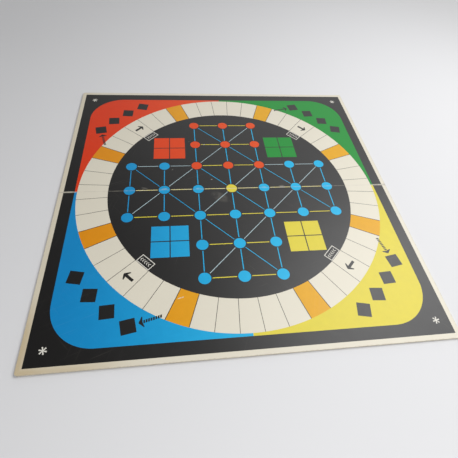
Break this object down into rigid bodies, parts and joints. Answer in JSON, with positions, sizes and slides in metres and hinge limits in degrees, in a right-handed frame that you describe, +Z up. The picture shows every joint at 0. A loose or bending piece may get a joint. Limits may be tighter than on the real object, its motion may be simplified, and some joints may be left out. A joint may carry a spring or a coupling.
{
  "type": "folding games board",
  "caption": "Square paperboard games board that folds in half on a cloth hinge, printed with a ring track of cells around a cross of points and lines.",
  "frame": {"origin": "middle of the open board's underside, on the table, under the middle of the fold", "axes": "+X along the fold to the right, +Y away from the near edge, +Z up out of the printed face"},
  "size_m": [0.4, 0.4, 0.0021],
  "materials": {
    "core_board": "matte",
    "back_paper": "matte",
    "face_paper": "satin",
    "hinge_linen": "matte",
    "black_ink": "satin",
    "red_ink": "satin",
    "green_ink": "satin",
    "blue_ink": "satin",
    "yellow_ink": "satin",
    "orange_ink": "satin",
    "pale_ink": "satin"
  },
  "bodies": {
    "near_half": {"near_core_board": "core_board", "near_back_liner": "back_paper", "near_face_sheet": "face_paper", "face_crease": "face_paper", "hinge_cloth": "hinge_linen", "near_black_ink": "black_ink", "near_blue_ink": "blue_ink", "near_yellow_ink": "yellow_ink", "near_orange_ink": "orange_ink", "near_pale_ink": "pale_ink"},
    "far_half": {"far_core_board": "core_board", "far_back_liner": "back_paper", "far_face_sheet": "face_paper", "far_black_ink": "black_ink", "far_red_ink": "red_ink", "far_green_ink": "green_ink", "far_blue_ink": "blue_ink", "far_yellow_ink": "yellow_ink", "far_orange_ink": "orange_ink", "far_pale_ink": "pale_ink"}
  },
  "joints": [
    {"name": "board_fold", "type": "hinge", "parent": "near_half", "child": "far_half", "pos_m": [0, 0, 0.00225], "axis": [1, 0, 0], "range_deg": [0, 180], "deforming": ["hinge_cloth", "face_crease"]}
  ]
}
